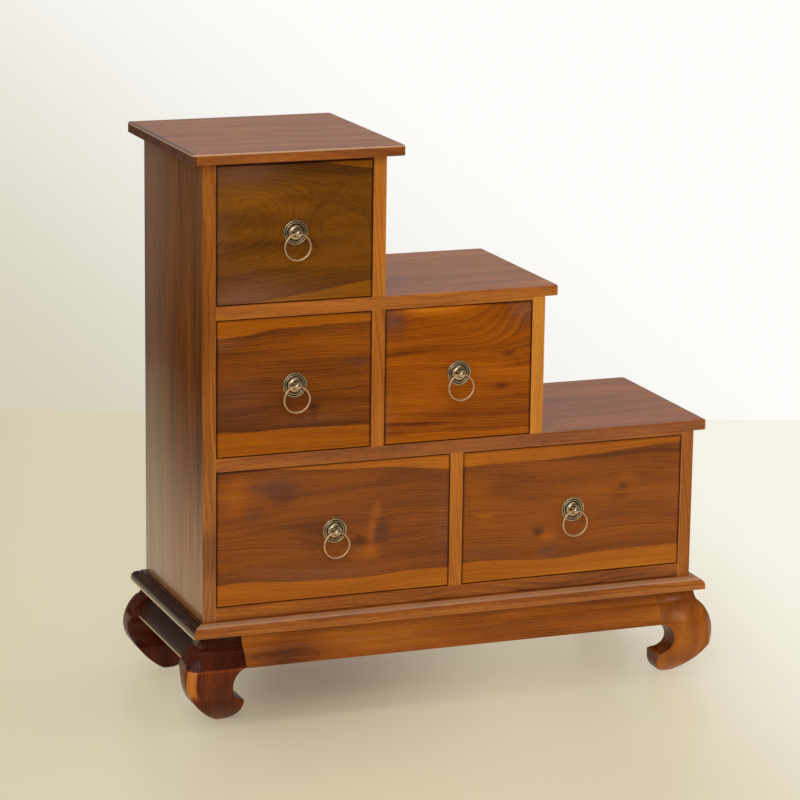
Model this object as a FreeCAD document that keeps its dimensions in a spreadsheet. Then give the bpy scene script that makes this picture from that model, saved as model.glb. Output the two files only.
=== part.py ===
import FreeCAD, Part
import math
import os
import re

# Step chest with five drawers on scrolled legs, made as its separate pieces.
# Millimetres. +X is the chest's right seen from the front, +Y its back, +Z up.
# The origin is on the floor, under the middle of the case.

SIZES = {
    # case
    "case_width": 700,
    "case_depth": 256,
    "panel_thickness": 18,
    "shelf_thickness": 18,
    "bottom_thickness": 18,
    "back_thickness": 6,
    "lower_row_height": 182.5,
    "middle_row_height": 182.5,
    "top_row_height": 182.5,
    "tower_opening_width": 213,
    "middle_opening_width": 208.5,
    "lower_left_opening_width": 326,
    "panel_edge_round": 1.2,
    # top board and step boards
    "lip_thickness": 14,
    "lip_side_overhang": 19,
    "lip_front_overhang": 19,
    "lip_back_overhang": 15,
    "lip_edge_round": 2.5,
    "lip_under_round": 1,
    "lip_corner_round": 5,
    # moulded base board
    "base_thickness": 17,
    "base_overhang": 17,
    "base_ledge_width": 6,
    "base_step_height": 2,
    "base_face_height": 6,
    # legs and aprons: out from the case's face, deep below the base board
    "leg_height": 120,
    "leg_top_out": 5,
    "cove_out": 9,
    "cove_depth": 16,
    "belly_out": 29,
    "belly_depth": 55,
    "shoulder_drop": 26.5,
    "heel_bulge": 3.5,
    "notch_radius": 24,
    "toe_neck": 8.8,
    # facet on a leg's outer corner: its bowed line, out from the case's corner on both sides
    "facet_top_depth": 18,
    "facet_belly_out": 23.3,
    "facet_belly_depth": 61,
    "facet_foot_out": 18.6,
    "facet_foot_depth": 98,
    # a leg seen from the front
    "front_reach": 51,
    "front_heel_inset": 20,
    "front_foot_flat": 8,
    "front_notch_inset": 57,
    # a leg seen from the side
    "side_reach": 20,
    "side_heel_inset": 8,
    "side_foot_flat": 8,
    "side_notch_inset": 30,
    "apron_inset": 8,
    "side_apron_setback": 10,
    # glue blocks and screws under the case
    "glue_block_length": 60,
    "glue_block_size": 18,
    "glue_block_end_gap": 59,
    "screw_radius": 2,
    "screw_head_radius": 4,
    "screw_head_height": 3,
    "screw_bite": 12,
    "screw_clearance": 0.1,
    "screw_row_inset": 50,
    "screw_end_inset": 60,
    # drawer boxes
    "drawer_gap": 1.5,
    "running_clearance": 0.3,
    "front_thickness": 18,
    "front_lap": 6,
    "front_edge_round": 1.2,
    "side_thickness": 10,
    "side_headroom": 22.5,
    "rear_thickness": 10,
    "rear_drop": 12,
    "floor_thickness": 5,
    "groove_depth": 4,
    "groove_height": 9,
    "stop_depth": 12,
    "stop_width": 20,
    "stop_height": 12,
    "stop_inset": 30,
    # ring pulls
    "plate_radius": 16.5,
    "plate_rim_height": 1.4,
    "outer_bead_inset": 1.3,
    "inner_bead_inset": 4.1,
    "bead_wire_radius": 0.9,
    "dome_inset": 6.1,
    "dome_height": 4.9,
    "dome_top_radius": 4.2,
    "post_radius": 5.25,
    "ball_lift": 0.05,
    "post_collar_radius": 3.6,
    "eye_radius": 2.5,
    "neck_radius": 2.6,
    "shank_radius": 2,
    "shank_clearance": 0.1,
    "shank_overrun": 1.5,
    "nut_height": 3.2,
    "nut_radius": 4,
    "ring_radius": 17.4,
    "ring_wire_radius": 1.4,
}

# Places worked out from the sizes. The case is measured from its left front corner on the floor.
PLACES = {
    "case_left": "-case_width / 2",
    "case_right": "case_width / 2",
    "case_front": "-case_depth / 2",
    "case_rear": "case_depth / 2",
    "inner_depth": "case_depth - back_thickness",
    "case_foot": "leg_height + base_thickness",
    "lower_floor": "case_foot + bottom_thickness",
    "lower_ceiling": "lower_floor + lower_row_height",
    "middle_floor": "lower_ceiling + shelf_thickness",
    "middle_ceiling": "middle_floor + middle_row_height",
    "top_floor": "middle_ceiling + shelf_thickness",
    "top_ceiling": "top_floor + top_row_height",
    "lip_rise": "shelf_thickness - lip_thickness",
    "opening_left": "case_left + panel_thickness",
    "tower_panel_left": "opening_left + tower_opening_width",
    "tower_panel_right": "tower_panel_left + panel_thickness",
    "middle_panel_left": "tower_panel_right + middle_opening_width",
    "middle_panel_right": "middle_panel_left + panel_thickness",
    "divider_left": "opening_left + lower_left_opening_width",
    "divider_right": "divider_left + panel_thickness",
    "right_panel_left": "case_right - panel_thickness",
    "drawer_length": "inner_depth - stop_depth - running_clearance",
    "tower_lid_depth": "case_depth + lip_front_overhang + lip_back_overhang",
    "front_toe_radius": "front_reach - front_heel_inset - front_foot_flat",
    "screw_reach": "case_width / 2 - screw_end_inset",
    "glue_block_reach": "case_width / 2 - front_reach - glue_block_end_gap - glue_block_length / 2",
    "outer_bead_radius": "plate_radius - outer_bead_inset",
    "inner_bead_radius": "plate_radius - inner_bead_inset",
    "dome_radius": "plate_radius - dome_inset",
    "post_reach": "dome_height + ball_lift + post_radius",
}

# One row of each drawer: left side, width, floor and height of its opening.
DRAWERS = {
    "tower_drawer": ("opening_left", "tower_opening_width", "top_floor", "top_row_height"),
    "middle_left_drawer": ("opening_left", "tower_opening_width", "middle_floor", "middle_row_height"),
    "middle_right_drawer": ("tower_panel_right", "middle_opening_width", "middle_floor",
                            "middle_row_height"),
    "lower_left_drawer": ("opening_left", "lower_left_opening_width", "lower_floor", "lower_row_height"),
    "lower_right_drawer": ("divider_right", "right_panel_left - divider_right", "lower_floor",
                           "lower_row_height"),
}

GLUE_BLOCKS_PER_SIDE = 3
SCREWS_PER_ROW = 3
QUARTER_TURN = 90

doc = FreeCAD.newDocument("StepChest")
sheet = doc.addObject("Spreadsheet::Sheet", "Sizes")
parts = []


def fill_sheet():
    """Write every driving size into the sheet, one row each, with its name as the alias."""
    for row, (alias, value) in enumerate(SIZES.items(), start=1):
        sheet.set(f"A{row}", alias)
        sheet.set(f"B{row}", str(value))
        sheet.setAlias(f"B{row}", alias)
    doc.recompute()


def formula(text):
    """Turn words into an expression on the sheet: a place becomes its own formula in brackets."""
    def swap(match):
        word = match.group(0)
        if word in PLACES:
            return "(" + formula(PLACES[word]) + ")"
        if word in SIZES:
            return "Sizes." + word
        return word
    return re.sub(r"[a-z][a-z_]+", swap, text)


def measure(text):
    """The value of such a formula as a plain number."""
    return float(sheet.evalExpression(formula(text)))


def bind(thing, **formulas):
    """Tie properties to formulas on the sheet."""
    for name, text in formulas.items():
        thing.setExpression(name, formula(text))


def place(thing, x="0", y="0", z="0"):
    """Tie the base point of a Placement to formulas on the sheet."""
    for axis, text in (("x", x), ("y", y), ("z", z)):
        thing.setExpression(f"Placement.Base.{axis}", formula(text))


def part(thing, label):
    """Keep an object as one sub-part under its own label."""
    thing.Label = label
    parts.append(thing)
    return thing


# Small builders

def block(name, x, y, z, length, width, height):
    """A box from its lowest corner and its three sizes."""
    box = doc.addObject("Part::Box", name)
    bind(box, Length=length, Width=width, Height=height)
    place(box, x, y, z)
    return box


def pin(name, x, y, z, radius, height, axis, turn):
    """A cylinder from the middle of its first end, turned about an axis."""
    cylinder = doc.addObject("Part::Cylinder", name)
    cylinder.Placement.Rotation = FreeCAD.Rotation(axis, turn)
    bind(cylinder, Radius=radius, Height=height)
    place(cylinder, x, y, z)
    return cylinder


def cut(name, base, tool):
    result = doc.addObject("Part::Cut", name)
    result.Base = base
    result.Tool = tool
    return result


def fuse(name, pieces):
    result = doc.addObject("Part::MultiFuse", name)
    result.Shapes = pieces
    return result


def group(name, pieces):
    """Separate solids kept together under one name."""
    result = doc.addObject("Part::Compound", name)
    result.Links = pieces
    return result


def solid_from(shape, name, x="0", y="0", z="0"):
    """A shape worked out below, kept as a feature and then put in its place."""
    feature = doc.addObject("Part::Feature", name)
    feature.Shape = shape
    place(feature, x, y, z)
    return feature


def body_box(body, kind, name, x, y, z, length, width, height):
    """A box added to a body or cut from it."""
    box = body.newObject(f"PartDesign::{kind}Box", name)
    bind(box, Length=length, Width=width, Height=height)
    place(box, x, y, z)
    return box


def body_hole(body, name, x, y, z, radius, height, axis, turn):
    """A round hole through a body, from the middle of its first end."""
    hole = body.newObject("PartDesign::SubtractiveCylinder", name)
    hole.Placement.Rotation = FreeCAD.Rotation(axis, turn)
    bind(hole, Radius=radius, Height=height)
    place(hole, x, y, z)
    return hole


def round_edges(body, base, name, radius, chosen):
    """Round the edges of a body's feature that pass a test on their two ends and the whole box."""
    doc.recompute()
    box = base.Shape.BoundBox
    names = [f"Edge{number}" for number, edge in enumerate(base.Shape.Edges, start=1)
             if chosen(edge.Vertexes[0].Point, edge.Vertexes[-1].Point, box)]
    fillet = body.newObject("PartDesign::Fillet", name)
    fillet.Base = (base, names)
    bind(fillet, Radius=radius)
    doc.recompute()
    return fillet


def same(first, second):
    return math.isclose(first, second, abs_tol=Part.Precision.approximation())


def arc(start, middle, end):
    return Part.Arc(start, middle, end).toShape()


def line(start, end):
    return Part.LineSegment(start, end).toShape()


# Case

def top_edges(first, last, box):
    return same(first.z, box.ZMax) and same(last.z, box.ZMax)


def upright_edges(first, last, box):
    return same(first.x, last.x) and same(first.y, last.y)


def under_edges(first, last, box):
    return same(first.z, box.ZMin) and same(last.z, box.ZMin)


def upright_right_edges(first, last, box):
    return upright_edges(first, last, box) and same(first.x, box.XMax)


def under_right_edges(first, last, box):
    return under_edges(first, last, box) and same(first.x, box.XMax) and same(last.x, box.XMax)


def top_open_edges(first, last, box):
    """The top edges but the left one, which meets the upright that stands there."""
    return top_edges(first, last, box) and not (same(first.x, box.XMin) and same(last.x, box.XMin))


def panel(label, x, z, height, rounded_edge=None, depth="case_depth"):
    """An upright board of the case, its outer front edge eased where nothing meets it."""
    body = doc.addObject("PartDesign::Body", label)
    place(body, x, "case_front", z)
    board = body_box(body, "Additive", label + "_board", "0", "0", "0", "panel_thickness", depth, height)
    if rounded_edge:
        round_edges(body, board, label + "_edge", "panel_edge_round", rounded_edge)
    return part(body, label)


def front_left_edge(first, last, box):
    return upright_edges(first, last, box) and same(first.x, box.XMin) and same(first.y, box.YMin)


def front_right_edge(first, last, box):
    return upright_edges(first, last, box) and same(first.x, box.XMax) and same(first.y, box.YMin)


def make_panels():
    panel("left_side_panel", "case_left", "case_foot", "top_ceiling + lip_rise - case_foot", front_left_edge)
    panel("right_side_panel", "right_panel_left", "case_foot", "lower_ceiling + lip_rise - case_foot",
          front_right_edge)
    panel("middle_side_panel", "middle_panel_left", "middle_floor", "middle_row_height + lip_rise",
          front_right_edge)
    panel("tower_side_panel", "tower_panel_left", "top_floor", "top_row_height + lip_rise", front_right_edge)
    panel("middle_divider", "tower_panel_left", "middle_floor", "middle_row_height", depth="inner_depth")
    panel("lower_divider", "divider_left", "lower_floor", "lower_row_height", depth="inner_depth")


def make_step_board(label, ceiling, open_from, outer_panel_left):
    """A step board: thick inside the case, thinner where it runs out over the panel at its end."""
    lip_end = f"{outer_panel_left} + panel_thickness + lip_side_overhang"
    body = doc.addObject("PartDesign::Body", label)
    place(body, "opening_left", "case_front", ceiling)
    depth = "case_depth + lip_back_overhang"
    lip = body_box(body, "Additive", label + "_lip", f"{open_from} - opening_left", "0", "lip_rise",
                   f"{lip_end} - ({open_from})", depth, "lip_thickness")
    corners = round_edges(body, lip, label + "_corners", "lip_corner_round", upright_right_edges)
    under = round_edges(body, corners, label + "_under", "lip_under_round", under_right_edges)
    round_edges(body, under, label + "_edge", "lip_edge_round", top_open_edges)
    body_box(body, "Additive", label + "_inner", "0", "0", "0", f"{open_from} - opening_left", depth,
             "shelf_thickness")
    body_box(body, "Additive", label + "_rib", f"{open_from} - opening_left", "0", "0",
             f"{outer_panel_left} - ({open_from})", depth, "lip_rise")
    return part(body, label)


def make_top_board():
    """The lid of the tower: a thin lip all round a thicker field that fits between the panels."""
    body = doc.addObject("PartDesign::Body", "top_board")
    place(body, "case_left - lip_side_overhang", "case_front - lip_front_overhang", "top_ceiling")
    lip = body_box(body, "Additive", "top_lip", "0", "0", "lip_rise",
                   "tower_panel_right - case_left + 2 * lip_side_overhang", "tower_lid_depth",
                   "lip_thickness")
    corners = round_edges(body, lip, "top_corners", "lip_corner_round", upright_edges)
    under = round_edges(body, corners, "top_under", "lip_under_round", under_edges)
    round_edges(body, under, "top_edge", "lip_edge_round", top_edges)
    body_box(body, "Additive", "top_field", "lip_side_overhang + panel_thickness", "lip_front_overhang", "0",
             "tower_opening_width", "case_depth", "lip_rise")
    return part(body, "top_board")


def spread(count):
    """Even steps from one end of a row, at minus one, to its other end, at one."""
    return [2 * number / (count - 1) - 1 for number in range(count)]


def screw_places():
    """Where the screws stand: rows along the front and back of the case."""
    for row, side in (("front", "-"), ("rear", "")):
        for number, step in enumerate(spread(SCREWS_PER_ROW)):
            yield row, number, f"{step} * screw_reach", f"{side}(case_depth / 2 - screw_row_inset)"


def make_bottom_board():
    body = doc.addObject("PartDesign::Body", "bottom_board")
    place(body, "opening_left", "case_front", "case_foot")
    body_box(body, "Additive", "bottom_board_slab", "0", "0", "0", "case_width - 2 * panel_thickness",
             "case_depth", "bottom_thickness")
    for row, number, x, y in screw_places():
        body_hole(body, f"bottom_hole_{row}_{number}", f"{x} - opening_left", f"{y} - case_front", "0",
                  "screw_radius + screw_clearance", "screw_bite", FreeCAD.Vector(0, 0, 1), 0)
    return part(body, "bottom_board")


def make_back_panels():
    """Three back panels, each filling its level between the uprights and flush with the case."""
    levels = {
        "tower_back_panel": ("tower_opening_width", "top_floor", "top_row_height"),
        "middle_back_panel": ("middle_panel_left - opening_left", "middle_floor", "middle_row_height"),
        "lower_back_panel": ("right_panel_left - opening_left", "lower_floor", "lower_row_height"),
    }
    for label, (width, floor, height) in levels.items():
        board = block(label, "opening_left", "case_rear - back_thickness", floor, width, "back_thickness",
                      height)
        part(board, label)


def make_drawer_stops():
    """Two small blocks behind each drawer, against the back panel."""
    stops = []
    for drawer, (left, width, floor, height) in DRAWERS.items():
        for hand, x in (("left", f"{left} + stop_inset"),
                        ("right", f"{left} + {width} - stop_inset - stop_width")):
            stops.append(block(f"{drawer}_stop_{hand}", x, "case_rear - back_thickness - stop_depth", floor,
                               "stop_width", "stop_depth", "stop_height"))
    part(group("drawer_stops", stops), "drawer_stops")


# Base

def base_outline(half):
    """Half of the moulded board's section: ledge, small step, quarter round, upright face."""
    rim = half + measure("base_overhang")
    ledge = half + measure("base_ledge_width")
    top = measure("base_thickness")
    step = top - measure("base_step_height")
    face = measure("base_face_height")
    turn = math.radians(QUARTER_TURN / 2)
    bend = FreeCAD.Vector(ledge + (rim - ledge) * math.sin(turn), 0, face + (step - face) * math.cos(turn))
    return [
        ("line", (ledge, top), (ledge, step)),
        ("curve", (ledge, step), (bend.x, bend.z), (rim, face)),
        ("line", (rim, face), (rim, 0)),
    ]


def base_section(half, direction):
    """The whole section of the base board across the case, mirrored about its middle."""
    def point(across, up):
        return FreeCAD.Vector(direction.x * across, direction.y * across, up)
    edges = []
    for side in (1, -1):
        for kind, *ends in base_outline(half):
            ends = [point(side * across, up) for across, up in ends]
            edges.append(arc(*ends) if kind == "curve" else line(*ends))
    rim = half + measure("base_overhang")
    ledge = half + measure("base_ledge_width")
    top = measure("base_thickness")
    edges.append(line(point(-ledge, top), point(ledge, top)))
    edges.append(line(point(-rim, 0), point(rim, 0)))
    return Part.Face(Part.Wire(Part.__sortEdges__(edges)))


def make_base_board():
    """The moulded board: the same section run both ways, so that its corners are mitred."""
    half_width = measure("case_width / 2")
    half_depth = measure("case_depth / 2")
    rim = measure("base_overhang")
    along = base_section(half_depth, FreeCAD.Vector(0, 1, 0))
    along.translate(FreeCAD.Vector(-half_width - rim, 0, 0))
    across = base_section(half_width, FreeCAD.Vector(1, 0, 0))
    across.translate(FreeCAD.Vector(0, -half_depth - rim, 0))
    board = along.extrude(FreeCAD.Vector(2 * (half_width + rim), 0, 0)).common(
        across.extrude(FreeCAD.Vector(0, 2 * (half_depth + rim), 0)))
    slab = solid_from(board, "base_slab", z="leg_height")
    holes = []
    for row, number, x, y in screw_places():
        shank = pin(f"base_hole_{row}_{number}", x, y, "leg_height", "screw_radius + screw_clearance",
                    "base_thickness", FreeCAD.Vector(0, 0, 1), 0)
        head = pin(f"base_sink_{row}_{number}", x, y, "leg_height", "screw_head_radius + screw_clearance",
                   "screw_head_height", FreeCAD.Vector(0, 0, 1), 0)
        holes += [shank, head]
    part(cut("base_board", slab, fuse("base_holes", holes)), "base_board")


def make_base_screws():
    screws = []
    for row, number, x, y in screw_places():
        shank = pin(f"screw_shank_{row}_{number}", x, y, "leg_height", "screw_radius",
                    "base_thickness + screw_bite", FreeCAD.Vector(0, 0, 1), 0)
        head = pin(f"screw_head_{row}_{number}", x, y, "leg_height", "screw_head_radius",
                   "screw_head_height", FreeCAD.Vector(0, 0, 1), 0)
        screws.append(fuse(f"screw_{row}_{number}", [shank, head]))
    part(group("base_screws", screws), "base_screws")


# Legs and aprons. Their outline is drawn outwards from the case's face and down from the base board.

def belly_circle():
    """Centre and radius of the round belly, through the end of the cove and upright at its fullest."""
    rise = measure("belly_depth - cove_depth")
    reach = measure("belly_out - cove_out")
    radius = (reach ** 2 + rise ** 2) / (2 * reach)
    return measure("belly_out") - radius, measure("belly_depth"), radius


def belly_out_at(depth):
    out, middle, radius = belly_circle()
    return out + math.sqrt(radius ** 2 - (depth - middle) ** 2)


def notch_rise(view):
    """How far the round notch reaches above and below its own centre at the leg's inner face."""
    return math.sqrt(measure("notch_radius") ** 2 - measure(f"{view}_notch_inset - {view}_reach") ** 2)


def notch_middle():
    """Depth of the notch's centre, a short neck above the toe of the foot."""
    return measure("leg_height - front_toe_radius - toe_neck") - notch_rise("front")


def apron_drop():
    return notch_middle() - notch_rise("front")


def between(first, last, bulge):
    """The point half way between two, moved square to the line by a bulge."""
    way = last.sub(first)
    square = FreeCAD.Vector(-way.y, way.x, 0)
    square.normalize()
    return first.add(last).multiply(1 / 2).add(square.multiply(bulge))


def outer_edges(bottom):
    """Cove and belly from the base board down to a depth, in the plane of out and down."""
    top = FreeCAD.Vector(measure("leg_top_out"), 0, 0)
    cove = FreeCAD.Vector(measure("cove_out"), measure("cove_depth"), 0)
    middle_depth = (cove.y + bottom) / 2
    return [
        arc(top, between(top, cove, cove_bulge(top, cove)), cove),
        arc(cove, FreeCAD.Vector(belly_out_at(middle_depth), middle_depth, 0),
            FreeCAD.Vector(belly_out_at(bottom), bottom, 0)),
    ]


def cove_bulge(top, cove):
    """Rise of the cove's arc, which leaves the base board upright."""
    chord = cove.sub(top)
    lean = math.atan2(chord.x, chord.y)
    return chord.Length / 2 * math.tan(lean / 2)


def leg_face(view):
    """A leg's scrolled outline, seen from the front or the side, as a face in the plane of out and down."""
    inner = -measure(f"{view}_reach")
    floor = measure("leg_height")
    top_out = measure("leg_top_out")
    shoulder_depth = measure("belly_depth + shoulder_drop")
    shoulder = FreeCAD.Vector(belly_out_at(shoulder_depth), shoulder_depth, 0)
    heel = FreeCAD.Vector(-measure(f"{view}_heel_inset"), floor, 0)
    sole = FreeCAD.Vector(heel.x - measure(f"{view}_foot_flat"), floor, 0)
    toe_radius = sole.x - inner
    toe_centre = FreeCAD.Vector(sole.x, floor - toe_radius, 0)
    toe = FreeCAD.Vector(inner, toe_centre.y, 0)
    toe_middle = toe_centre + FreeCAD.Vector(-toe_radius, toe_radius, 0) * math.sqrt(1 / 2)
    notch = FreeCAD.Vector(-measure(f"{view}_notch_inset"), notch_middle(), 0)
    throat = FreeCAD.Vector(notch.x + measure("notch_radius"), notch.y, 0)
    lip = FreeCAD.Vector(inner, notch.y + notch_rise(view), 0)
    crown = FreeCAD.Vector(inner, notch.y - notch_rise(view), 0)
    edges = outer_edges(shoulder_depth) + [
        arc(shoulder, between(shoulder, heel, -measure("heel_bulge")), heel),
        line(heel, sole),
        arc(sole, toe_middle, toe),
        line(toe, lip),
        arc(lip, throat, crown),
        line(crown, FreeCAD.Vector(inner, 0, 0)),
        line(FreeCAD.Vector(inner, 0, 0), FreeCAD.Vector(top_out, 0, 0)),
    ]
    return Part.Face(Part.Wire(Part.__sortEdges__(edges)))


def apron_face():
    """The apron's section: the leg's outer curve in front, flat behind."""
    drop = apron_drop()
    inner = -measure("apron_inset")
    edges = outer_edges(drop) + [
        line(FreeCAD.Vector(belly_out_at(drop), drop, 0), FreeCAD.Vector(inner, drop, 0)),
        line(FreeCAD.Vector(inner, drop, 0), FreeCAD.Vector(inner, 0, 0)),
        line(FreeCAD.Vector(inner, 0, 0), FreeCAD.Vector(measure("leg_top_out"), 0, 0)),
    ]
    return Part.Face(Part.Wire(Part.__sortEdges__(edges)))


def stand_up(face, out, along):
    """Turn a face from the plane of out and down to an upright plane, with its top at height zero."""
    down = FreeCAD.Vector(0, 0, -1)
    frame = FreeCAD.Matrix(out.x, down.x, along.x, 0,
                           out.y, down.y, along.y, 0,
                           out.z, down.z, along.z, 0,
                           0, 0, 0, 1)
    return face.transformed(frame, copy=True)


def facet_tool(out_x, out_y):
    """What the bowed facet takes off a leg's outer corner, from the arris near the top down to the foot."""
    far = 2 * measure("belly_out")

    def point(out, depth):
        return (out_x + out_y) * out - FreeCAD.Vector(0, 0, depth)

    top_depth = measure("facet_top_depth")
    foot_depth = measure("facet_foot_depth")
    top = point(belly_out_at(top_depth), top_depth)
    belly = point(measure("facet_belly_out"), measure("facet_belly_depth"))
    foot = point(measure("facet_foot_out"), foot_depth)
    edges = [
        arc(top, belly, foot),
        line(foot, point(far, foot_depth)),
        line(point(far, foot_depth), point(far, top_depth)),
        line(point(far, top_depth), top),
    ]
    tool = Part.Face(Part.Wire(edges))
    across = (out_x - out_y) * far
    tool.translate(across * -1)
    return tool.extrude(across * 2)


def make_leg(label, side_x, side_y):
    """A leg: the scroll sawn from the front and again from the side, with its outer corner faceted."""
    out_x = FreeCAD.Vector(side_x, 0, 0)
    out_y = FreeCAD.Vector(0, side_y, 0)
    span = 2 * measure("front_reach + belly_out")
    from_front = stand_up(leg_face("front"), out_x, out_y)
    from_front.translate(out_y * (-span / 2))
    from_side = stand_up(leg_face("side"), out_y, out_x)
    from_side.translate(out_x * (-span / 2))
    leg = from_front.extrude(out_y * span).common(from_side.extrude(out_x * span))
    leg = leg.cut(facet_tool(out_x, out_y))
    corner_x = "case_right" if side_x > 0 else "case_left"
    corner_y = "case_rear" if side_y > 0 else "case_front"
    return part(solid_from(leg.Solids[0], label, corner_x, corner_y, "leg_height"), label)


def make_aprons():
    """Four aprons between the leg blocks, under the base board; those at the sides are set back."""
    face = apron_face()
    for label, out, along, length, reach, setback, x, y in (
            ("front_apron", (0, -1), (1, 0), "case_width", "front_reach", "0", "case_left", "case_front"),
            ("back_apron", (0, 1), (1, 0), "case_width", "front_reach", "0", "case_left", "case_rear"),
            ("left_apron", (-1, 0), (0, 1), "case_depth", "side_reach", "side_apron_setback", "case_left",
             "case_front"),
            ("right_apron", (1, 0), (0, 1), "case_depth", "side_reach", "side_apron_setback", "case_right",
             "case_front")):
        out = FreeCAD.Vector(*out, 0)
        along = FreeCAD.Vector(*along, 0)
        section = stand_up(face, out, along)
        section.translate(along * measure(reach) - out * measure(setback))
        apron = section.extrude(along * measure(f"{length} - 2 * {reach}"))
        part(solid_from(apron, label, x, y, "leg_height"), label)


def make_glue_blocks():
    """Blocks glued behind the long aprons and under the base board."""
    blocks = []
    for row, y in (("front", "case_front + apron_inset"),
                   ("rear", "case_rear - apron_inset - glue_block_size")):
        for number, step in enumerate(spread(GLUE_BLOCKS_PER_SIDE)):
            blocks.append(block(f"glue_block_{row}_{number}",
                                f"{step} * glue_block_reach - glue_block_length / 2", y,
                                "leg_height - glue_block_size", "glue_block_length", "glue_block_size",
                                "glue_block_size"))
    part(group("glue_blocks", blocks), "glue_blocks")


# Drawers

def face_edges(first, last, box):
    return same(first.y, box.YMin) and same(last.y, box.YMin)


def side_height(height):
    """The sides of a drawer stop short of the ceiling of its opening."""
    return f"({height} - side_headroom)"


def make_drawer_front(drawer, left, width, floor, height):
    """A front lapped over the ends of the sides, grooved for the floor and bored for the pull."""
    label = drawer + "_front"
    body = doc.addObject("PartDesign::Body", label)
    place(body, f"{left} + drawer_gap", "case_front", f"{floor} + drawer_gap")
    board = body_box(body, "Additive", label + "_board", "0", "0", "0", f"{width} - 2 * drawer_gap",
                     "front_thickness", f"{height} - 2 * drawer_gap")
    round_edges(body, board, label + "_edges", "front_edge_round", face_edges)
    side_top = f"{side_height(height)} + running_clearance - drawer_gap"
    for hand, x in (("left", "0"), ("right", f"{width} - 2 * drawer_gap - side_thickness")):
        body_box(body, "Subtractive", f"{label}_rebate_{hand}", x, "front_lap", "0", "side_thickness",
                 "front_thickness - front_lap", side_top)
    body_box(body, "Subtractive", label + "_groove", "side_thickness - groove_depth",
             "front_thickness - groove_depth", "running_clearance + groove_height - drawer_gap",
             f"{width} - 2 * (drawer_gap + side_thickness - groove_depth)", "groove_depth",
             "floor_thickness")
    body_hole(body, label + "_bore", f"{width} / 2 - drawer_gap", "0", f"{height} / 2 - drawer_gap",
              "shank_radius + shank_clearance", "front_thickness", FreeCAD.Vector(1, 0, 0), -QUARTER_TURN)
    part(body, label)


def make_drawer_sides(drawer, left, width, floor, height):
    """Two sides, each grooved for the floor, in one group."""
    sides = []
    length = "drawer_length - front_lap"
    bottom = f"{floor} + running_clearance"
    for hand, x, groove in (
            ("left", f"{left} + drawer_gap", "side_thickness - groove_depth"),
            ("right", f"{left} + {width} - drawer_gap - side_thickness", "0")):
        side = block(f"{drawer}_side_{hand}_board", x, "case_front + front_lap", bottom, "side_thickness",
                     length, side_height(height))
        slot = block(f"{drawer}_side_{hand}_slot", f"{x} + {groove}", "case_front + front_lap",
                     f"{bottom} + groove_height", "groove_depth", length, "floor_thickness")
        sides.append(cut(f"{drawer}_side_{hand}", side, slot))
    part(group(drawer + "_sides", sides), drawer + "_sides")


def make_drawer_rear(drawer, left, width, floor, height):
    label = drawer + "_rear"
    part(block(label, f"{left} + drawer_gap + side_thickness", "case_front + drawer_length - rear_thickness",
               f"{floor} + running_clearance + groove_height + floor_thickness",
               f"{width} - 2 * (drawer_gap + side_thickness)", "rear_thickness",
               f"{side_height(height)} - groove_height - floor_thickness - rear_drop"), label)


def make_drawer_floor(drawer, left, width, floor):
    label = drawer + "_floor"
    part(block(label, f"{left} + drawer_gap + side_thickness - groove_depth",
               "case_front + front_thickness - groove_depth", f"{floor} + running_clearance + groove_height",
               f"{width} - 2 * (drawer_gap + side_thickness - groove_depth)",
               "drawer_length - front_thickness + groove_depth", "floor_thickness"), label)


# Ring pulls

def plate_profile():
    """Half section of the stepped plate: rim, two beads, dome and collar, from the drawer outwards."""
    bore = measure("neck_radius + shank_clearance")
    rim = measure("plate_radius")
    rise = measure("plate_rim_height")
    bead = measure("bead_wire_radius")
    foot = measure("dome_radius")
    dome = measure("dome_height")
    collar = measure("dome_top_radius")
    outer = measure("outer_bead_radius")
    inner = measure("inner_bead_radius")

    def point(across, out):
        return FreeCAD.Vector(across, -out, 0)

    bulge = between(point(foot, rise), point(collar, dome), (foot - collar) / 4)
    return [
        line(point(bore, 0), point(rim, 0)),
        line(point(rim, 0), point(rim, rise)),
        line(point(rim, rise), point(outer + bead, rise)),
        arc(point(outer + bead, rise), point(outer, rise + bead), point(outer - bead, rise)),
        line(point(outer - bead, rise), point(inner + bead, rise)),
        arc(point(inner + bead, rise), point(inner, rise + bead), point(inner - bead, rise)),
        line(point(inner - bead, rise), point(foot, rise)),
        arc(point(foot, rise), bulge, point(collar, dome)),
        line(point(collar, dome), point(bore, dome)),
        line(point(bore, dome), point(bore, 0)),
    ]


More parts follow.
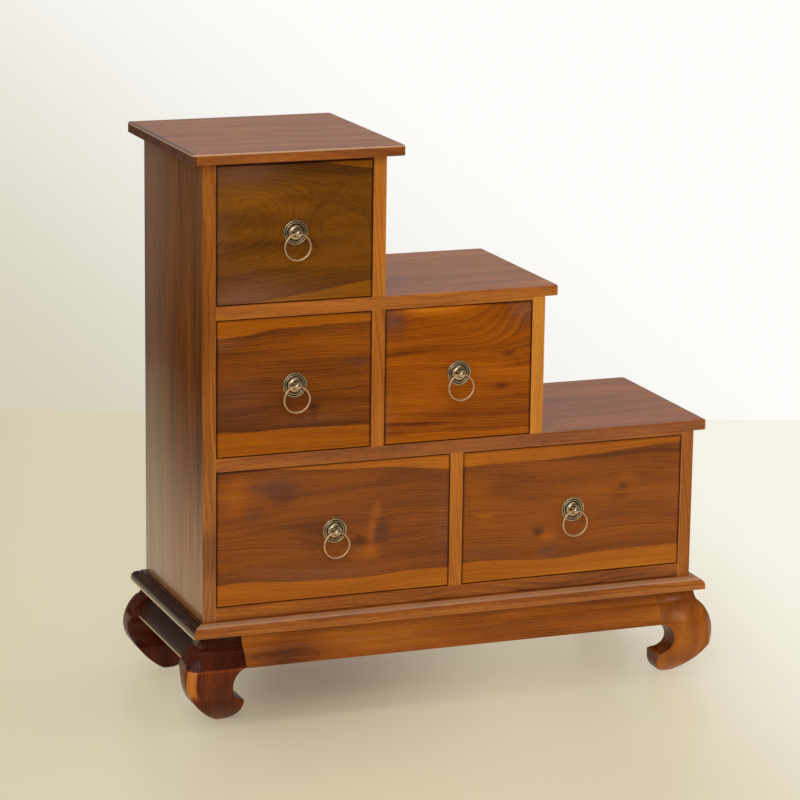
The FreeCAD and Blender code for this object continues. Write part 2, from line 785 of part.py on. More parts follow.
def make_pull(drawer, left, width, floor, height):
    """Stepped plate, ball post with an eye, shank and nut, and the wire ring that hangs in the eye."""
    x = f"{left} + {width} / 2"
    z = f"{floor} + {height} / 2"
    across = FreeCAD.Vector(0, 1, 0)
    inwards = FreeCAD.Vector(1, 0, 0)
    profile = Part.Face(Part.Wire(Part.__sortEdges__(plate_profile())))
    plate = profile.revolve(FreeCAD.Vector(0, 0, 0), across, 4 * QUARTER_TURN)
    part(solid_from(plate, drawer + "_pull_plate", x, "case_front", z), drawer + "_pull_plate")

    ball = doc.addObject("Part::Sphere", drawer + "_ball")
    bind(ball, Radius="post_radius")
    place(ball, x, "case_front - post_reach", z)
    collar = pin(drawer + "_collar", x, "case_front - post_reach", z, "post_collar_radius",
                 "post_reach - dome_height", inwards, -QUARTER_TURN)
    neck = pin(drawer + "_neck", x, "case_front - post_reach", z, "neck_radius", "post_reach", inwards,
               -QUARTER_TURN)
    shank = pin(drawer + "_shank", x, "case_front", z, "shank_radius",
                "front_thickness + nut_height + shank_overrun", inwards, -QUARTER_TURN)
    eye = pin(drawer + "_eye", f"{x} - post_radius", "case_front - post_reach", z, "eye_radius",
              "2 * post_radius", across, QUARTER_TURN)
    post = cut(drawer + "_post", fuse(drawer + "_post_blank", [ball, collar, neck, shank]), eye)

    hexagon = doc.addObject("Part::Prism", drawer + "_nut_blank")
    hexagon.Polygon = 6
    hexagon.Placement.Rotation = FreeCAD.Rotation(inwards, -QUARTER_TURN)
    bind(hexagon, Circumradius="nut_radius", Height="nut_height")
    place(hexagon, x, "case_front + front_thickness", z)
    bore = pin(drawer + "_nut_bore", x, "case_front + front_thickness", z, "shank_radius + shank_clearance",
               "nut_height", inwards, -QUARTER_TURN)
    nut = cut(drawer + "_nut", hexagon, bore)
    part(group(drawer + "_pull_post", [post, nut]), drawer + "_pull_post")

    ring = doc.addObject("Part::Torus", drawer + "_pull_ring")
    ring.Placement.Rotation = FreeCAD.Rotation(inwards, QUARTER_TURN)
    bind(ring, Radius1="ring_radius", Radius2="ring_wire_radius")
    place(ring, x, "case_front - post_reach", f"{z} - ring_radius")
    part(ring, drawer + "_pull_ring")


def make_drawers():
    for drawer, (left, width, floor, height) in DRAWERS.items():
        width = f"({width})"
        make_drawer_front(drawer, left, width, floor, height)
        make_drawer_sides(drawer, left, width, floor, height)
        make_drawer_rear(drawer, left, width, floor, height)
        make_drawer_floor(drawer, left, width, floor)
        make_pull(drawer, left, width, floor, height)


def check_and_export():
    """Stop if anything failed, then write each sub-part to its own STEP file."""
    doc.recompute()
    for thing in doc.Objects:
        if "Invalid" in thing.State or "Error" in thing.State:
            raise RuntimeError(f"{thing.Name} failed: {thing.State}")
    os.makedirs("parts", exist_ok=True)
    for thing in parts:
        shape = thing.Shape
        if shape.isNull() or not shape.isValid() or not shape.Solids:
            raise RuntimeError(f"{thing.Label} has no valid solid")
        shape.exportStep(f"parts/{thing.Label}.step")
        print(thing.Label, len(shape.Solids), round(shape.Volume / 1000, 2))


fill_sheet()
make_panels()
make_step_board("middle_step_board", "middle_ceiling", "tower_panel_right", "middle_panel_left")
make_step_board("lower_step_board", "lower_ceiling", "middle_panel_right", "right_panel_left")
make_top_board()
make_bottom_board()
make_back_panels()
make_drawer_stops()
make_base_board()
make_base_screws()
for label, side_x, side_y in (("front_left_leg", -1, -1), ("front_right_leg", 1, -1),
                              ("back_left_leg", -1, 1), ("back_right_leg", 1, 1)):
    make_leg(label, side_x, side_y)
make_aprons()
make_glue_blocks()
make_drawers()
check_and_export()
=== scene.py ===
import math

import bmesh
import bpy
from mathutils import Matrix, Vector


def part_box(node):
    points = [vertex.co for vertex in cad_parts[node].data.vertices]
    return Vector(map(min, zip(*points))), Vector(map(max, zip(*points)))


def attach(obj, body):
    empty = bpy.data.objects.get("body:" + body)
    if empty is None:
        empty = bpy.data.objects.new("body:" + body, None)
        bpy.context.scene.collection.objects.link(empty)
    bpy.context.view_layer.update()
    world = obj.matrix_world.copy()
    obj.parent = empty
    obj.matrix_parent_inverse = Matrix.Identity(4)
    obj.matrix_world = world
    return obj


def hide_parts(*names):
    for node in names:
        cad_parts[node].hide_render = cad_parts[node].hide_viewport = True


# Looks of a stepped chest of five drawers in varnished wood, with antique brass ring pulls.
# Metres. +X is the chest's right seen from the front, +Y its back, +Z up.
# In the materials, lengths are millimetres from the middle of the piece.

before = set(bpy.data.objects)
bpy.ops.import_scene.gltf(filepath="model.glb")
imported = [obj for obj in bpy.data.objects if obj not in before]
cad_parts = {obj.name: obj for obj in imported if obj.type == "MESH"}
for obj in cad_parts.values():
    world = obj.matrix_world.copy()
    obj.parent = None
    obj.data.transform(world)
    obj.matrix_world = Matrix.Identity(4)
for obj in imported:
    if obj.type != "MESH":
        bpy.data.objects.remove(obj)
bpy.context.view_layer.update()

MM = 1000


def tint(red, green, blue):
    """A colour from its screen values, 0 to 255, as the linear values that shaders take."""
    def linear(part):
        part = part / 255
        return part / 12.92 if part <= 0.04045 else ((part + 0.055) / 1.055) ** 2.4
    return (linear(red), linear(green), linear(blue), 1)


def tints(*colours):
    return [tint(*colour) for colour in colours]


class Value:
    """A socket that takes part in sums: an expression on it adds the Math nodes that work it out."""

    def __init__(self, graph, socket):
        self.graph = graph
        self.socket = socket

    def __getitem__(self, name):
        return Value(self.graph, self.socket.node.outputs[name])

    def math(self, operation, *others):
        inputs = dict(enumerate((self, *others)))
        return self.graph.add("Math", {"operation": operation}, inputs)

    def __add__(self, other):
        return self.math("ADD", other)

    def __sub__(self, other):
        return self.math("SUBTRACT", other)

    def __mul__(self, other):
        return self.math("MULTIPLY", other)

    def __truediv__(self, number):
        """Division by a plain number."""
        return self * (1 / number)

    def __rsub__(self, other):
        return self * -1 + other

    def __abs__(self):
        return self.math("ABSOLUTE")

    __radd__ = __add__
    __rmul__ = __mul__

    def step(self, low, high):
        """Nought below low, one above high, and a smooth rise between them."""
        settings = {"interpolation_type": "SMOOTHSTEP"}
        return self.graph.add("MapRange", settings, {"Value": self, "From Min": low, "From Max": high})


class Graph:
    """The nodes of one material, or of the world. The last one is the node that finish feeds."""

    def __init__(self, owner, last):
        owner.use_nodes = True
        self.owner = owner
        self.nodes = owner.node_tree.nodes
        self.links = owner.node_tree.links
        self.last = self.nodes[last]

    def feed(self, socket, value):
        if isinstance(value, Value):
            self.links.new(value.socket, socket)
        else:
            socket.default_value = value

    def add(self, kind, settings=None, inputs=None, output=0):
        """Add a node, give it its settings and then its sockets, and hand back one of its outputs."""
        node = self.nodes.new("ShaderNode" + kind)
        for name, value in (settings or {}).items():
            setattr(node, name, value)
        for name, value in (inputs or {}).items():
            self.feed(node.inputs[name], value)
        return Value(self, node.outputs[output])

    def ramp(self, share, stops):
        """A colour that runs through stops, (position, colour), along a share from 0 to 1."""
        colour = self.add("ValToRGB", {}, {"Fac": share})
        elements = colour.socket.node.color_ramp.elements
        while len(elements) < len(stops):
            elements.new(1)
        for element, (position, shade) in zip(elements, stops):
            element.position = position
            element.color = shade
        return colour

    def place(self, centre):
        """The point on the piece in millimetres from its middle."""
        point = self.add("TexCoord", output="Object")
        local = self.add("Mapping", {}, {"Vector": point, "Location": [-MM * part for part in centre],
                                         "Scale": (MM, MM, MM)})
        return self.add("SeparateXYZ", {}, {"Vector": local})

    def noise(self, x, y, z, detail=2, roughness=0.5):
        """Soft noise about nought, with features about one unit of x, y and z in size."""
        vector = self.add("CombineXYZ", {}, {"X": x, "Y": y, "Z": z})
        cloud = self.add("TexNoise", {}, {"Vector": vector, "Scale": 1, "Detail": detail,
                                          "Roughness": roughness})
        return cloud - 0.5

    def round_noise(self, point, width, detail):
        """Soft noise with features of one width in millimetres in each direction."""
        return self.noise(point["X"] / width, point["Y"] / width, point["Z"] / width, detail)

    def scaled(self, colour, factor):
        """A colour made lighter or darker."""
        return self.add("VectorMath", {"operation": "SCALE"}, {0: colour, "Scale": factor})

    def blend(self, share, under, over):
        """One colour laid over another by a share from 0 to 1."""
        return self.add("Mix", {"data_type": "RGBA"}, {0: share, 6: under, 7: over}, 2)

    def bump(self, height, depth):
        """Relief on the surface, its depth in metres."""
        return self.add("Bump", {}, {"Height": height, "Distance": depth, "Strength": 1})

    def finish(self, **sockets):
        """Feed the sockets of the last node, words joined by underscores."""
        for name, value in sockets.items():
            self.feed(self.last.inputs[name.replace("_", " ")], value)
        return self.owner


def material_graph(name):
    return Graph(bpy.data.materials.new(name), "Principled BSDF")


def dress(node, material):
    """Give a CAD node one material."""
    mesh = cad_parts[node].data
    mesh.materials.clear()
    mesh.materials.append(material)


def middle(node):
    """The middle of a CAD node's box in metres."""
    low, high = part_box(node)
    return [(a + b) / 2 for a, b in zip(low, high)]


def half_sizes(node):
    """Half of a CAD node's width, depth and height in millimetres."""
    low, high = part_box(node)
    return [(b - a) / 2 * MM for a, b in zip(low, high)]


# Timber. Each kind has five tones, from its darkest line to its sapwood.

TONES_AT = (0, 0.28, 0.5, 0.7, 1)
CASE_WOOD = tints((48, 22, 12), (104, 52, 18), (152, 80, 20), (186, 108, 28), (214, 140, 46))
FRONT_WOOD = tints((48, 20, 8), (98, 49, 14), (144, 74, 8), (168, 90, 6), (204, 122, 20))
OLIVE_WOOD = tints((42, 20, 8), (84, 47, 12), (120, 69, 8), (150, 88, 8), (190, 118, 26))
AMBER_WOOD = tints((46, 20, 6), (104, 48, 6), (150, 74, 2), (178, 94, 4), (216, 134, 34))
# Darker timber for the left apron: painted shade
SHADED_WOOD = tints((34, 18, 12), (62, 36, 22), (98, 60, 38), (140, 96, 64), (200, 160, 120))
SIDE_WOOD = tints((42, 22, 12), (84, 44, 18), (122, 68, 26), (150, 86, 32), (184, 116, 52))
LEG_WOOD = tints((38, 14, 8), (84, 32, 12), (138, 62, 20), (178, 96, 30), (222, 146, 60))
INNER_WOOD = tints((112, 72, 42), (148, 102, 62), (176, 130, 84), (192, 148, 100), (206, 166, 118))
BLOOM = tint(142, 96, 78)
# Pale painted highlight on the arrises of the top board, the base board and the left apron
PALE_HIGHLIGHT = tint(214, 184, 150)
# Warm painted highlight for the side panels' front arrises
WARM_HIGHLIGHT = tint(206, 138, 78)
# Greyish painted reflection on the left side
SHEEN_GREY = tint(132, 110, 92)

# What bends and marks the timber: its length along the grain and its width across it
SWAY = (190, 60)
RIPPLE = (42, 11)
PATCH = (170, 20)
PORE = (22, 0.8)
DASH = (15, 1.1)
YEAR = (900, 5.2)
FINE_LINE = (240, 1.5)
DRIFT = (300, 30)

SEED_STEP = 17.3
SWAY_BEND = 22
RIPPLE_BEND = 2.6
RING_WIDTH = 3.6
RING_DRIFT = 5
LATE_WOOD_POWER = 4
SAPWOOD_RIM = 0.08
PORE_DEPTH = 0.00008

# How much each kind of mark changes the tone
PATCH_SHARE = 0.5
YEAR_SHARE = 0.4
FINE_SHARE = 0.26
LATE_SHARE = 0.2
PORE_SHARE = 0.16
DASH_SHARE = 0.14


class Board:
    """The growth of one piece of timber. Its growth rings are cylinders about a pith that runs along
    the grain, outside the board, and leans, so that a face cuts them in long arches. A slow noise
    bends them. axes says which of x, y, z run along the grain, across it and through the board.
    """

    def __init__(self, node, axes, seed):
        self.graph = material_graph(node + "_wood")
        self.point = self.graph.place(middle(node))
        self.along, self.across, self.through = (self.point[axis.upper()] for axis in axes)
        self.half_length = half_sizes(node)["xyz".index(axes[0])]
        self.shift = seed * SEED_STEP
        sway = self.noise(self.across, SWAY, detail=1)
        ripple = self.noise(self.across, RIPPLE, detail=2)
        self.bent = self.across + sway * SWAY_BEND + ripple * RIPPLE_BEND

    def noise(self, across, extent, detail, roughness=0.5):
        """Noise with features of a length along the grain and a width across it."""
        length, width = extent
        return self.graph.noise(self.along / length + self.shift, across / width, self.through / width,
                                detail, roughness)

    def ring_noise(self, rings, extent, detail, roughness=0.5):
        """Noise that changes from ring to ring, and slowly along each."""
        length, width = extent
        return self.graph.noise(rings / width + self.shift, self.along / length, self.through / length,
                                detail, roughness)

    def bell(self, along, across, half_length, half_width):
        """One at a place on the face, falling off smoothly to nought round it."""
        u = (self.along - along) / half_length
        v = (self.bent - across) / half_width
        return ((u * u + v * v) * -1).math("EXPONENT")

    def rings(self, pith, lean, swells):
        """How far each point lies from the pith. The grain parts round each swell."""
        across = self.bent - pith[0]
        for *place, share in swells:
            across = across - (self.bent - place[1]) * self.bell(*place) * share
        through = self.through + self.along * lean + pith[1]
        return (across * across + through * through).math("SQRT")

    def late_wood(self, rings):
        """The dark line that ends a year's growth. It comes and goes."""
        length, width = DRIFT
        drift = self.graph.noise(rings / width + self.shift, self.along / length, 0, detail=1)
        year = (rings / RING_WIDTH + drift * RING_DRIFT).math("FRACT")
        return year.math("POWER", LATE_WOOD_POWER) * (drift * 2 + 0.7)

    def with_spots(self, rings, tone, spots):
        """The rings lifted into an eye or a knot at each spot, and the tone changed there."""
        for *place, lift, change in spots:
            spot = self.bell(*place)
            if lift:
                rings = rings + spot * lift
            if change:
                tone = tone + spot * change
        return rings, tone

    def with_sapwood(self, tone, left, right, side, change):
        """The tone with a light strip beyond an edge that runs from left to right, dark before it."""
        edge = self.along * ((right - left) / (2 * self.half_length)) + (left + right) / 2
        inside = (self.bent - edge) * side
        light = inside.step(-1.2, 1.2) * (change + SAPWOOD_RIM)
        return tone + light - inside.step(-16, -1) * SAPWOOD_RIM


def wood(node, axes, seed, shades=CASE_WOOD, tone=0.5, pith=(0, 60), lean=0.1, swells=(), bands=(),
         spots=(), haze=(), lines=1.0, gloss=0.3, shine=(0.35, 0.2), more=None, wash=None):
    """Solid timber for one node.

    pith: where the pith lies at half length (across the board, distance on its low side).
    lean: how much that distance grows for each millimetre along the grain.
    swells: (along, across, half length, half width, share) where the grain parts round a knot.
    bands: sapwood strips (edge at the left end, edge at the right end, which side, how much lighter).
    spots: (along, across, half length, half width, lift of the rings, change of tone).
    haze: (along, across, half length, half width, share) of the greyish bloom over the timber.
    lines: how strongly the rings show.
    gloss: the roughness of the varnish.
    shine: how strongly the timber and the varnish over it reflect.
    more: works out one more change of tone from the point.
    wash: works out where a pale colour, a painted highlight or reflection, lies over the timber, and
    the colour.
    """
    board = Board(node, axes, seed)
    graph, point = board.graph, board.point
    tone = board.noise(board.bent, PATCH, detail=3) * PATCH_SHARE + tone
    rings, tone = board.with_spots(board.rings(pith, lean, swells), tone, spots)
    year = board.ring_noise(rings, YEAR, detail=3, roughness=0.62)
    fine = board.ring_noise(rings, FINE_LINE, detail=1)
    pores = board.noise(board.bent, PORE, detail=2, roughness=0.6)
    dashes = board.noise(board.bent, DASH, detail=1).step(0.09, 0.24)
    tone = tone + year * (YEAR_SHARE * lines) + fine * (FINE_SHARE * lines)
    tone = tone - board.late_wood(rings) * (LATE_SHARE * lines)
    tone = tone + pores * PORE_SHARE - dashes * DASH_SHARE
    for band in bands:
        tone = board.with_sapwood(tone, *band)
    if more:
        tone = tone + more(point)
    colour = graph.ramp(tone, list(zip(TONES_AT, shades)))
    for *place, share in haze:
        colour = graph.blend(board.bell(*place) * share, colour, BLOOM)
    if wash:
        where, pale = wash
        colour = graph.blend(where(point), colour, pale)
    specular, coat = shine
    return graph.finish(Base_Color=colour, Roughness=pores * 0.25 + fine * 0.1 + gloss,
                        Normal=graph.bump(pores * 0.6 + fine * 0.4, PORE_DEPTH),
                        Specular_IOR_Level=specular, Coat_Roughness=0.16,
                        Coat_Weight=coat(point) if callable(coat) else coat)


# Drawer fronts

FRONT_FINISH = dict(shades=FRONT_WOOD, shine=(0.07, 0.06))
FRONTS = {
    "tower_drawer_front": dict(
        seed=1, tone=0.46, pith=(10, 70), lean=0.12, shades=OLIVE_WOOD, lines=0.6,
        bands=((-96, -70, -1, 0.18), (112, 79, 1, 0.24)),
        spots=((-94, 22, 22, 22, 20, -0.06), (46, 8, 70, 40, 26, 0.02), (104, 52, 40, 22, -16, 0.04),
               (-60, 82, 60, 10, 0, -0.08), (-60, 48, 40, 14, 0, 0.1), (0, 24, 22, 10, 0, 0.1)),
        haze=((-70, 86, 46, 26, 0.4), (-70, -84, 52, 24, 0.45), (10, -78, 50, 14, 0.12),
              (-104, 0, 20, 50, 0.14))),
    "middle_left_drawer_front": dict(
        seed=2, tone=0.41, pith=(-170, 60), lean=0.03, lines=0.8,
        bands=((68, 79, 1, 0.28), (-57, -62, -1, 0.23)),
        spots=((60, 50, 90, 18, 0, 0.14), (90, 27, 22, 6, 0, -0.16), (26, -32, 9, 5, 3, -0.2),
               (-80, -20, 70, 34, 0, -0.1), (28, -45, 5, 12, 2, -0.08), (40, -52, 50, 8, 0, -0.08)),
        haze=((-80, -16, 44, 34, 0.16), (90, 27, 18, 5, 0.2), (-96, 62, 22, 10, 0.14),
              (20, -50, 50, 9, 0.14))),
    "middle_right_drawer_front": dict(
        seed=3, tone=0.53, pith=(-190, 60), lean=0.02, shades=AMBER_WOOD,
        bands=((-79, -80, -1, 0.12),),
        spots=((-31, 94, 52, 14, 6, 0.7), (-92, 76, 18, 16, 4, -0.22), (100, 96, 60, 46, -50, -0.1),
               (-30, 96, 70, 20, -14, 0), (-78, 30, 44, 4, 0, -0.16), (70, 25, 8, 4, 5, -0.22),
               (62, -20, 9, 4, 5, -0.24), (-70, -66, 60, 3, 0, -0.24), (10, -48, 90, 10, 0, -0.1),
               (-60, 0, 60, 40, 0, 0.04), (40, 10, 40, 12, 4, 0.06)),
        haze=((-94, 76, 14, 15, 0.35), (92, 80, 18, 15, 0.35), (-102, -60, 8, 30, 0.2))),
    "lower_left_drawer_front": dict(
        seed=4, tone=0.45, pith=(-190, 60), lean=0.02, lines=0.75,
        swells=((4, -10, 84, 40, 0.62), (120, 0, 50, 34, 0.5)),
        bands=((95, 69, 1, 0.34), (-62, -67, -1, 0.3)),
        spots=((4, -12, 34, 11, 11, 0), (-80, 68, 30, 12, 0, -0.2), (-72, 50, 20, 12, 0, -0.16),
               (-112, 30, 14, 12, 3, -0.12), (-136, 62, 16, 26, 0, 0.16), (-88, 84, 40, 7, 0, 0.16),
               (36, -15, 16, 9, 3, -0.2), (60, 24, 6, 9, 4, 0.2), (54, 8, 5, 10, 4, 0.22),
               (51, -8, 5, 10, 4, 0.24), (50, -30, 12, 9, 4, 0.26), (38, -38, 16, 5, 2, 0.12),
               (66, -2, 12, 16, 6, -0.22), (-24, -6, 20, 22, 0, -0.12), (-40, 46, 50, 12, 0, 0.06)),
        haze=((0, 0, 300, 200, 0.12), (-82, 66, 30, 13, 0.24), (-114, 26, 10, 9, 0.16),
              (-10, -56, 80, 7, 0.2), (66, -2, 12, 16, 0.12), (152, 0, 10, 60, 0.12),
              (-100, -50, 50, 9, 0.1))),
    "lower_right_drawer_front": dict(
        seed=5, tone=0.5, pith=(-210, 60), lean=0.03, lines=0.75,
        swells=((-45, -26, 30, 18, 0.6), (74, 28, 24, 14, 0.6), (-130, 4, 30, 16, 0.5)),
        bands=((69, 78, 1, 0.28), (-63, -63, -1, 0.28)),
        spots=((-140, 40, 26, 26, 0, 0.14), (-128, 0, 16, 6, 2, 0.16), (-49, -24, 9, 6, 9, -0.34),
               (-36, -30, 12, 9, 5, 0.2), (-34, -50, 14, 10, 0, -0.14), (74, 28, 6, 5, 8, -0.2),
               (68, 18, 14, 10, 0, -0.1), (80, 38, 12, 6, 3, 0.14), (20, 30, 60, 10, 0, 0.06),
               (60, -40, 60, 8, 0, 0.06)),
        haze=((0, 0, 300, 200, 0.1), (-130, -48, 36, 10, 0.16), (-34, -52, 14, 11, 0.2),
              (150, 10, 10, 50, 0.08))),
}
DRAWERS = [front.removesuffix("_front") for front in FRONTS]
RIM_FROM = 2.8
RIM_TO = 1.2
FOOT_HIGHLIGHT_FROM = 2.4
FOOT_HIGHLIGHT_TO = 1


def front_rim(node):
    """A front's eased border is darker, but for a painted highlight along its lower arris."""
    half_x, half_z = half_sizes(node)[::2]

    def more(point):
        side = abs(point["X"]).step(half_x - RIM_FROM, half_x - RIM_TO)
        top = point["Z"].step(half_z - RIM_FROM, half_z - RIM_TO)
        # Painted highlight: a light line along the front's lower arris
        foot = point["Z"].step(FOOT_HIGHLIGHT_FROM - half_z, FOOT_HIGHLIGHT_TO - half_z)
        return foot * 0.12 - side.math("MAXIMUM", top) * 0.16
    return more


for node, figure in FRONTS.items():
    dress(node, wood(node, "xzy", more=front_rim(node), **dict(FRONT_FINISH, **figure)))


# Boards of the case, the base and the aprons. The side panels reach from y = -128 to 128.

def front_edge(point):
    """One on the front edge of a side panel, nought on its sides."""
    return point["Y"].step(-126.4, -127.4)


def edge_tone(change):
    """A side panel whose front edge is lighter or darker than its sides."""
    def more(point):
        return front_edge(point) * change
    return more


def edge_highlight(point):
    """Painted highlights on the two arrises of a side panel's front edge."""
    return point["Y"].step(-126.4, -127.2) * abs(point["X"]).step(7.9, 8.5) * 0.3


def left_side_coat(point):
    """More varnish towards the foot and the back of the left side."""
    streaks = point.graph.noise(point["Y"] / 14, point["Z"] / 220, 0)
    return point["Z"].step(40, -290) * (0.96 + streaks) + point["Y"].step(-70, 120) * 0.3 + 0.02


def left_side_tones(point):
    """The left side's front edge is lighter, but for a dark patch low down. Its foot, and a little its
    top, are lighter as a painted reflection.
    """
    edge = front_edge(point)
    # Painted reflection: the foot and the top lighter
    foot = point["Z"].step(-60, -300)
    patch = abs(point["Z"] + 212).step(46, 14)
    top = point["Z"].step(60, 300)
    return edge * (0.3 - patch * 0.22 + foot * 0.05) + foot * (1 - edge) * 0.32 + top * 0.05


def left_side_painted_sheen(point):
    """A painted reflection: a greyish sheen on the left side, more of it towards the top, the back and
    the foot.
    """
    side = point["Y"].step(-127, -126)
    return side * (point["Y"].step(-40, 120) * 0.46 + point["Z"].step(20, 290) * 0.22
                   + point["Z"].step(-60, -300) * 0.2 + 0.02)


def top_board_tones(point):
    """The end of the top board at the left is dark."""
    return point["X"].step(-137.5, -138.3) * -0.25


def lip_highlight(point):
    """A painted highlight on the upper arris of a board's lip, round its front and open sides."""
    return point["Z"].step(6.2, 6.9) * point["Z"].step(8.8, 8.3) * 0.55


def lip_tones(point):
    """The front edge of a board is a little lighter than its top."""
    return point["Z"].step(8.4, 7.4) * 0.1


def bottom_contact_shade(point):
    """Painted shade along the foot of the bottom board, where it meets the base board."""
    return point["Z"].step(-6.6, -8) * -0.22


def base_side(point):
    """The base board's left side, up to the mitre at its front corner."""
    return point["X"].step(-349, -351) * (point["Y"] - point["X"]).step(221, 223)


def base_tones(point):
    """The base board's left side is darkened with painted shade, and it has a lighter nose in front.
    """
    nose = point["Z"].step(-0.5, -2) * 0.08
    # Painted shade on the base board's left side
    return base_side(point) * (-0.5 - nose) + nose


def base_highlights(point):
    """Painted highlights: one on the lower arris of the base board's left side, and a faint one along
    its front.
    """
    side = base_side(point)
    # Painted highlight on the lower arris of the left side
    foot = point["X"].step(-364, -365.5) * point["Z"].step(-5.5, -6.5) * 0.9
    ridge = point["Z"].step(3.6, 5) * point["Z"].step(8.45, 8) * 0.3
    return side * (foot - ridge) + ridge


def apron_tones(point):
    """The front apron is more golden above and browner below."""
    return point["Z"].step(-20, 14) * 0.12 - 0.07


def apron_highlight(point):
    """A painted highlight on the lower arris of the apron at the left."""
    return point["Z"].step(-19, -19.8) * 0.9


DIVIDER = dict(pith=(-160, 60), shine=(0.2, 0.1))
# The side panels' front arrises carry a warm painted highlight
RIGHT_SIDE = dict(DIVIDER, lean=0.05, wash=(edge_highlight, WARM_HIGHLIGHT))
BOARDS = {
    "left_side_panel": ("zyx", dict(
        seed=11, tone=0.42, pith=(60, 70), lean=0.02, shades=SIDE_WOOD, lines=1.2,
        shine=(0, left_side_coat), more=left_side_tones, wash=(left_side_painted_sheen, SHEEN_GREY))),
    "tower_side_panel": ("zyx", dict(RIGHT_SIDE, seed=12, tone=0.52, more=edge_tone(0.25))),
    "middle_side_panel": ("zyx", dict(RIGHT_SIDE, seed=13, tone=0.5, more=edge_tone(0.4))),
    "right_side_panel": ("zyx", dict(RIGHT_SIDE, seed=14, tone=0.48, more=edge_tone(0.15))),
    "middle_divider": ("zyx", dict(DIVIDER, seed=15, tone=0.66)),
    "lower_divider": ("zyx", dict(DIVIDER, seed=16, tone=0.74)),
    # The top board's lip carries a pale painted highlight
    "top_board": ("xyz", dict(
        seed=17, tone=0.5, pith=(20, 60), lean=0.08, lines=0.45, more=top_board_tones,
        wash=(lip_highlight, PALE_HIGHLIGHT))),
    "middle_step_board": ("xyz", dict(
        seed=18, tone=0.52, pith=(60, 60), lean=0.08, lines=0.45, more=lip_tones)),
    "lower_step_board": ("xyz", dict(seed=19, tone=0.5, pith=(-30, 70), lean=0.04, lines=0.45)),
    "bottom_board": ("xyz", dict(
        seed=20, tone=0.54, pith=(0, 70), lean=0.02, shine=(0.2, 0.1), more=bottom_contact_shade,
        spots=((230, -125, 110, 60, 0, -0.1),))),
    "base_board": ("xyz", dict(
        seed=21, tone=0.52, pith=(-100, 60), lean=0.02, more=base_tones, wash=(base_highlights, PALE_HIGHLIGHT))),
    "front_apron": ("xzy", dict(
        seed=22, tone=0.55, pith=(-120, 40), lean=0.04, lines=0.6, shine=(0.15, 0.1), more=apron_tones,
        spots=((-240, -8, 50, 18, 0, -0.28), (-270, 12, 40, 5, 0, 0.12), (-130, -2, 80, 12, 0, 0.08),
               (16, -4, 40, 16, 4, -0.02), (250, 10, 60, 12, 0, -0.1)))),
    "back_apron": ("xzy", dict(seed=23, tone=0.45, pith=(-60, 40), lean=0.06)),
    # The left apron's darker timber is painted shade
    "left_apron": ("yzx", dict(
        seed=24, tone=0.3, pith=(-60, 40), lean=0.06, shades=SHADED_WOOD, shine=(0.25, 0.1),
        wash=(apron_highlight, PALE_HIGHLIGHT))),
    "right_apron": ("yzx", dict(seed=25, tone=0.45, pith=(-60, 40), lean=0.06)),
}
for node, (axes, figure) in BOARDS.items():
    dress(node, wood(node, axes, **figure))


# Pale unvarnished timber for what only shows when a drawer is out

INNER_FINISH = dict(shades=INNER_WOOD, pith=(20, 200), lean=0.03, gloss=0.55, lines=0.6,
                    shine=(0.2, 0))
CASE_INSIDE = ("tower_back_panel", "middle_back_panel", "lower_back_panel", "drawer_stops",
               "glue_blocks")
DRAWER_INSIDE = (("_sides", "yzx"), ("_rear", "xzy"), ("_floor", "xyz"))

for seed, node in enumerate(CASE_INSIDE, start=30):
    dress(node, wood(node, "xzy", seed, **INNER_FINISH))
insides = [(drawer + end, axes) for drawer in sorted(DRAWERS) for end, axes in DRAWER_INSIDE]
for seed, (node, axes) in enumerate(insides, start=40):
    dress(node, wood(node, axes, seed, **INNER_FINISH))


# Legs with their arrises rounded off

ROUNDING = 0.0016
NEAR = 1e-4
MERGE = 1e-5
FLAT_ANGLE = math.radians(0.5)
ARRIS_ANGLE = math.radians(24)
SHARP_ANGLE = math.radians(30)


def open_arrises(work, stay_sharp):
    """The sharp outward edges of a mesh, but for those between points that pass a test."""
    return [edge for edge in work.edges
            if edge.is_convex and len(edge.link_faces) == 2 and edge.calc_face_angle() > ARRIS_ANGLE
            and not all(stay_sharp(vertex.co) for vertex in edge.verts)]


def eased(node, stay_sharp, material):
    """A copy of a CAD node that stands for it, with its open arrises rounded."""
    work = bmesh.new()
    work.from_mesh(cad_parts[node].data)
    bmesh.ops.remove_doubles(work, verts=work.verts, dist=MERGE)
    bmesh.ops.dissolve_limit(work, angle_limit=FLAT_ANGLE, verts=work.verts, edges=work.edges)
    bmesh.ops.bevel(work, geom=open_arrises(work, stay_sharp), offset=ROUNDING, offset_type="OFFSET",
                    segments=3, profile=0.5, affect="EDGES", clamp_overlap=False)
    mesh = bpy.data.meshes.new(node + "_eased")
    work.to_mesh(mesh)
    work.free()
    mesh.polygons.foreach_set("use_smooth", [True] * len(mesh.polygons))
    mesh.set_sharp_from_angle(angle=SHARP_ANGLE)
    mesh.materials.append(material)
    piece = bpy.data.objects.new(node + "_eased", mesh)
    bpy.context.scene.collection.objects.link(piece)
    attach(piece, "carcass")
    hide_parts(node)


def covered_test(node, side_x, side_y):
    """A test for points on a leg's top and on its two inner faces."""
    low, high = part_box(node)
    inner_x = low[0] if side_x > 0 else high[0]
    inner_y = low[1] if side_y > 0 else high[1]

    def covered(point):
        return min(abs(point.x - inner_x), abs(point.y - inner_y), abs(point.z - high[2])) < NEAR
    return covered


